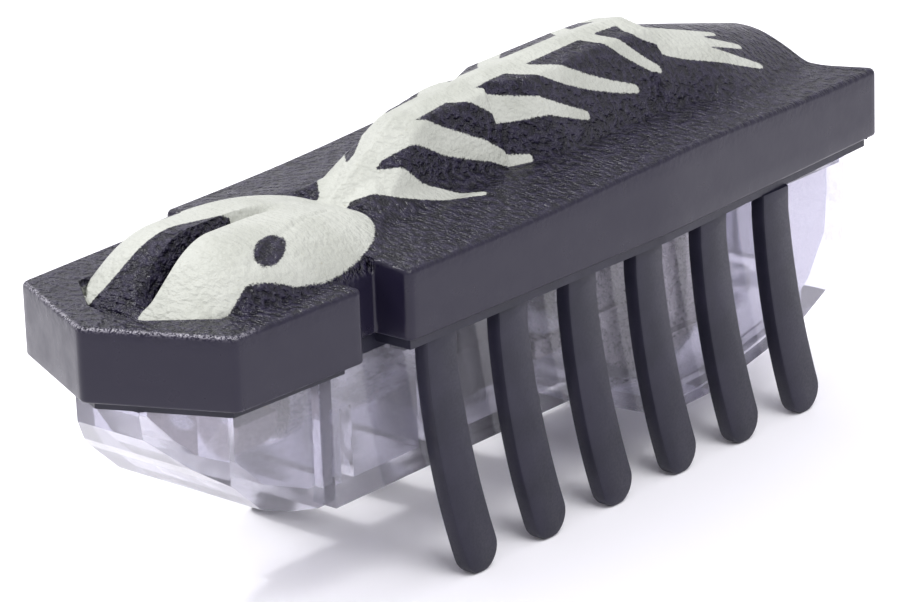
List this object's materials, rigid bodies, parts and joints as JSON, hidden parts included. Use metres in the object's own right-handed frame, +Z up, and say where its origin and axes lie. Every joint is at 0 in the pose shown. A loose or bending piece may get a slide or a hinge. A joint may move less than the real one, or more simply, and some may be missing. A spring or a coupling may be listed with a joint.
{
  "type": "vibration bug robot",
  "caption": "Palm-size vibrating walker: black ridged top shell, clear lower chassis, curved rubber legs down both sides, button cell and eccentric motor inside.",
  "frame": {"origin": "centre of the bounding box on the ground plane, under the belly, level with the soles of the legs", "axes": "+X towards the nose, +Y to the robot's left, +Z up"},
  "size_m": [0.043, 0.0136, 0.018],
  "materials": {
    "shell_black": "moulded ABS, leather-grained top, smooth sides, pale glow print",
    "elastomer_black": "satin elastomer",
    "clear_plastic": "clear moulded polycarbonate",
    "steel_bright": "satin stainless",
    "nickel": "nickel plate",
    "brass": "plain",
    "tungsten": "sintered heavy alloy",
    "magnet_grey": "ground",
    "copper": "enamelled wire",
    "seal_grey": "nylon",
    "nylon_white": "moulded",
    "switch_black": "moulded",
    "lead_red": "PVC insulation",
    "lead_black": "PVC insulation"
  },
  "bodies": {
    "housing": {"top_shell": "shell_black", "leg_frame": "elastomer_black", "chassis": "clear_plastic", "battery_can": "nickel", "battery_seal_ring": "seal_grey", "battery_cap": "steel_bright", "contact_positive": "nickel", "contact_negative": "nickel", "motor_can": "steel_bright", "motor_end_bell": "nylon_white", "motor_bush": "brass", "motor_magnet": "magnet_grey", "switch_body": "switch_black", "switch_contact": "brass", "motor_lead_red": "lead_red", "motor_lead_black": "lead_black"},
    "rotor": {"motor_coil": "copper", "motor_shaft": "steel_bright", "eccentric_weight": "tungsten"},
    "door": {"battery_door": "clear_plastic"},
    "screw": {"door_screw": "steel_bright"},
    "slider": {"switch_slider": "switch_black"},
    "leg_left_1": {"leg_left_1": "elastomer_black"},
    "leg_left_2": {"leg_left_2": "elastomer_black"},
    "leg_left_3": {"leg_left_3": "elastomer_black"},
    "leg_left_4": {"leg_left_4": "elastomer_black"},
    "leg_left_5": {"leg_left_5": "elastomer_black"},
    "leg_left_6": {"leg_left_6": "elastomer_black"},
    "leg_right_1": {"leg_right_1": "elastomer_black"},
    "leg_right_2": {"leg_right_2": "elastomer_black"},
    "leg_right_3": {"leg_right_3": "elastomer_black"},
    "leg_right_4": {"leg_right_4": "elastomer_black"},
    "leg_right_5": {"leg_right_5": "elastomer_black"},
    "leg_right_6": {"leg_right_6": "elastomer_black"}
  },
  "joints": [
    {"name": "motor_spin", "type": "hinge", "parent": "housing", "child": "rotor", "pos_m": [0.0125, 0, 0.00825], "axis": [1, 0, 0], "continuous": true},
    {"name": "door_pull", "type": "slide", "parent": "housing", "child": "door", "axis": [0, 0, -1], "range_m": [0, 0.006]},
    {"name": "screw_out", "type": "slide", "parent": "door", "child": "screw", "axis": [0, 0, -1], "range_m": [0, 0.004]},
    {"name": "switch_slide", "type": "slide", "parent": "housing", "child": "slider", "axis": [1, 0, 0], "range_m": [0, 0.0015]},
    {"name": "flex_left_1", "type": "hinge", "parent": "housing", "child": "leg_left_1", "pos_m": [0.00779, 0.00583, 0.00963], "axis": [0, 1, 0], "range_deg": [-6, 10], "stiffness_Nm_per_rad": 0.0006},
    {"name": "flex_left_2", "type": "hinge", "parent": "housing", "child": "leg_left_2", "pos_m": [0.00342, 0.00583, 0.00963], "axis": [0, 1, 0], "range_deg": [-6, 10], "stiffness_Nm_per_rad": 0.0006},
    {"name": "flex_left_3", "type": "hinge", "parent": "housing", "child": "leg_left_3", "pos_m": [-0.00095, 0.00583, 0.00963], "axis": [0, 1, 0], "range_deg": [-6, 10], "stiffness_Nm_per_rad": 0.0006},
    {"name": "flex_left_4", "type": "hinge", "parent": "housing", "child": "leg_left_4", "pos_m": [-0.00532, 0.00583, 0.00963], "axis": [0, 1, 0], "range_deg": [-6, 10], "stiffness_Nm_per_rad": 0.0006},
    {"name": "flex_left_5", "type": "hinge", "parent": "housing", "child": "leg_left_5", "pos_m": [-0.00969, 0.00583, 0.00963], "axis": [0, 1, 0], "range_deg": [-6, 10], "stiffness_Nm_per_rad": 0.0006},
    {"name": "flex_left_6", "type": "hinge", "parent": "housing", "child": "leg_left_6", "pos_m": [-0.01406, 0.00583, 0.00963], "axis": [0, 1, 0], "range_deg": [-6, 10], "stiffness_Nm_per_rad": 0.0006},
    {"name": "flex_right_1", "type": "hinge", "parent": "housing", "child": "leg_right_1", "pos_m": [0.00779, -0.00583, 0.00963], "axis": [0, 1, 0], "range_deg": [-6, 10], "stiffness_Nm_per_rad": 0.0006},
    {"name": "flex_right_2", "type": "hinge", "parent": "housing", "child": "leg_right_2", "pos_m": [0.00342, -0.00583, 0.00963], "axis": [0, 1, 0], "range_deg": [-6, 10], "stiffness_Nm_per_rad": 0.0006},
    {"name": "flex_right_3", "type": "hinge", "parent": "housing", "child": "leg_right_3", "pos_m": [-0.00095, -0.00583, 0.00963], "axis": [0, 1, 0], "range_deg": [-6, 10], "stiffness_Nm_per_rad": 0.0006},
    {"name": "flex_right_4", "type": "hinge", "parent": "housing", "child": "leg_right_4", "pos_m": [-0.00532, -0.00583, 0.00963], "axis": [0, 1, 0], "range_deg": [-6, 10], "stiffness_Nm_per_rad": 0.0006},
    {"name": "flex_right_5", "type": "hinge", "parent": "housing", "child": "leg_right_5", "pos_m": [-0.00969, -0.00583, 0.00963], "axis": [0, 1, 0], "range_deg": [-6, 10], "stiffness_Nm_per_rad": 0.0006},
    {"name": "flex_right_6", "type": "hinge", "parent": "housing", "child": "leg_right_6", "pos_m": [-0.01406, -0.00583, 0.00963], "axis": [0, 1, 0], "range_deg": [-6, 10], "stiffness_Nm_per_rad": 0.0006}
  ]
}
